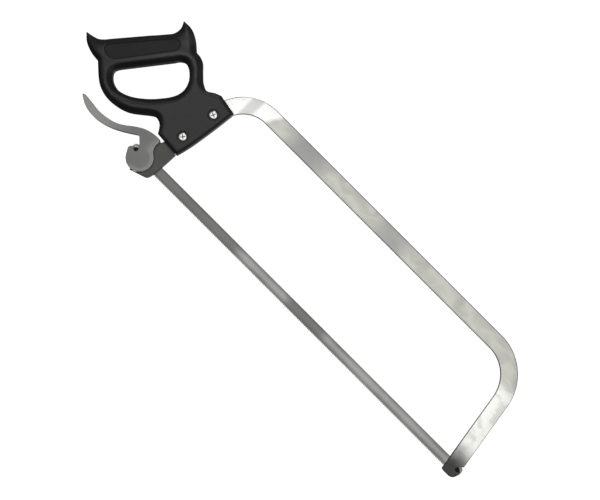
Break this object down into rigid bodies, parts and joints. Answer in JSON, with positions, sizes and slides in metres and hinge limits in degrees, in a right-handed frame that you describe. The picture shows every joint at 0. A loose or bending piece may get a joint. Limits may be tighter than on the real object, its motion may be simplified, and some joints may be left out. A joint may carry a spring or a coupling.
{
  "type": "bow saw",
  "caption": "Butcher's bow saw: flat steel bow, closed moulded handle with two horns, and a fine-toothed blade pulled tight by an over-centre cam lever.",
  "frame": {"origin": "bottom centre of the bounding box: mid-length, on the saw's mid-plane, level with the lowest point of the tension block", "axes": "+X along the blade from the handle to the front of the bow, +Y across the saw's thickness, +Z from the teeth towards the spine"},
  "size_m": [0.6948, 0.026, 0.1756],
  "materials": {
    "bright_steel": "bright brushed stainless bar with cloudy grinding marks",
    "block_iron": "dark grey cast and dressed",
    "lever_casting": "matte grey tumbled casting",
    "blade_steel": "ground spring steel, darker near the teeth",
    "pin_steel": "oiled dark steel",
    "nickel_screws": "bright nickel plate",
    "black_handle": "fine moulded texture, slightly rubbed on the rims"
  },
  "bodies": {
    "saw_frame": {"frame_bow": "bright_steel", "tension_block": "block_iron", "block_rivet": "pin_steel", "handle_left": "black_handle", "handle_right": "black_handle", "handle_screw_upper": "nickel_screws", "handle_screw_lower": "nickel_screws", "sleeve_nut_upper": "nickel_screws", "sleeve_nut_lower": "nickel_screws"},
    "tension_lever": {"cam_lever": "lever_casting", "blade_pin_rear": "pin_steel"},
    "saw_blade": {"blade": "blade_steel", "blade_pin_front": "pin_steel"}
  },
  "joints": [
    {"name": "lever_swing", "type": "hinge", "parent": "saw_frame", "child": "tension_lever", "pos_m": [-0.1943, 0, 0.01877], "axis": [0, -1, 0], "range_deg": [0, 60]},
    {"name": "blade_drop", "type": "hinge", "parent": "saw_frame", "child": "saw_blade", "pos_m": [0.341, 0, 0.02357], "axis": [0, -1, 0], "range_deg": [0, 1.3]}
  ],
  "couplings": [
    {"joint": "blade_drop", "follows": "lever_swing", "ratio": 0.02}
  ]
}
